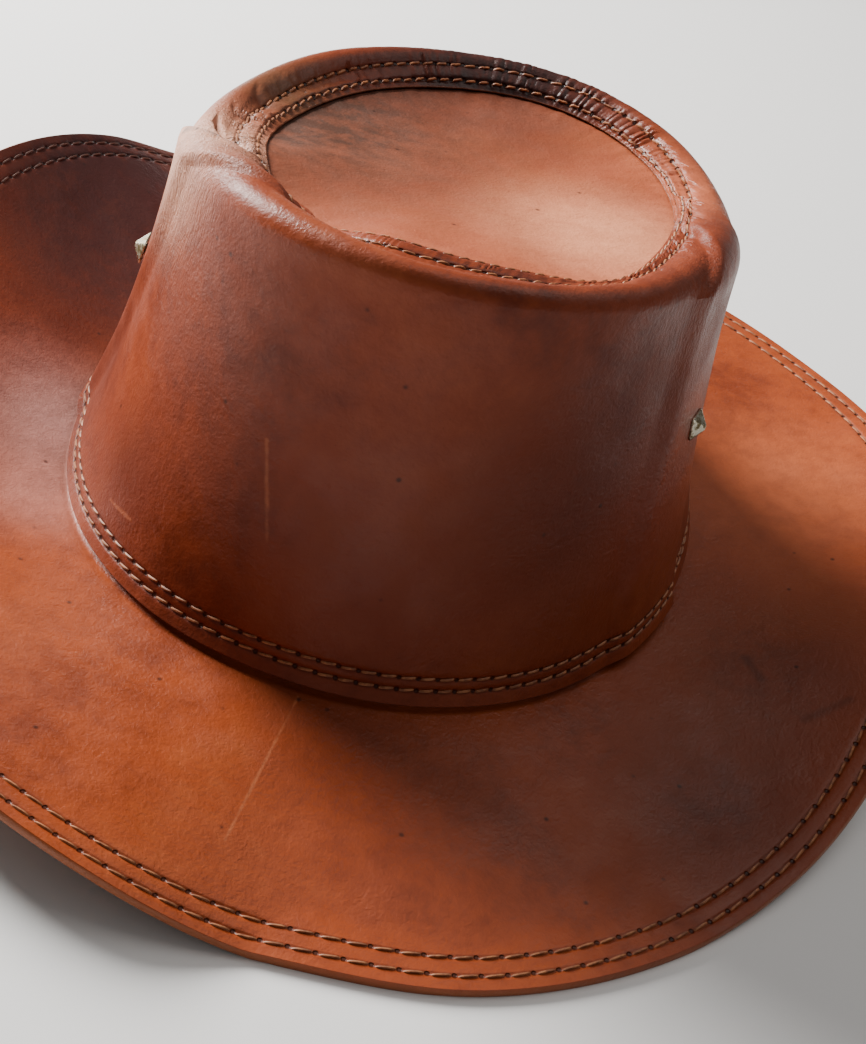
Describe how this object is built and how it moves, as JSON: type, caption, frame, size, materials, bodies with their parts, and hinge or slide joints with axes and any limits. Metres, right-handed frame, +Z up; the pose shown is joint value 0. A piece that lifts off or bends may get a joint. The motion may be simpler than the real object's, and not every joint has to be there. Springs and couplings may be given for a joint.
{
  "type": "leather hat",
  "caption": "Leather hat with a tapered crown of lapped panels, a gathered flange round a recessed top, a wavy wide brim with a collar, and faceted side studs.",
  "frame": {"origin": "on the floor under the middle of the brim", "axes": "+Z up, the front of the hat towards -Y, the head's length along Y, the right of a front view towards +X"},
  "size_m": [0.3158, 0.3683, 0.1234],
  "materials": {
    "crown_leather": "oiled, smooth, reddish brown",
    "top_leather": "smooth, tan",
    "brim_leather": "oiled, smooth, reddish brown",
    "stud_metal": "aged, between dull brass and nickel"
  },
  "bodies": {
    "root": {"crown_front": "crown_leather", "crown_back": "crown_leather", "crown_tip": "top_leather", "brim": "brim_leather", "stud_left": "stud_metal", "stud_right": "stud_metal"}
  },
  "joints": []
}
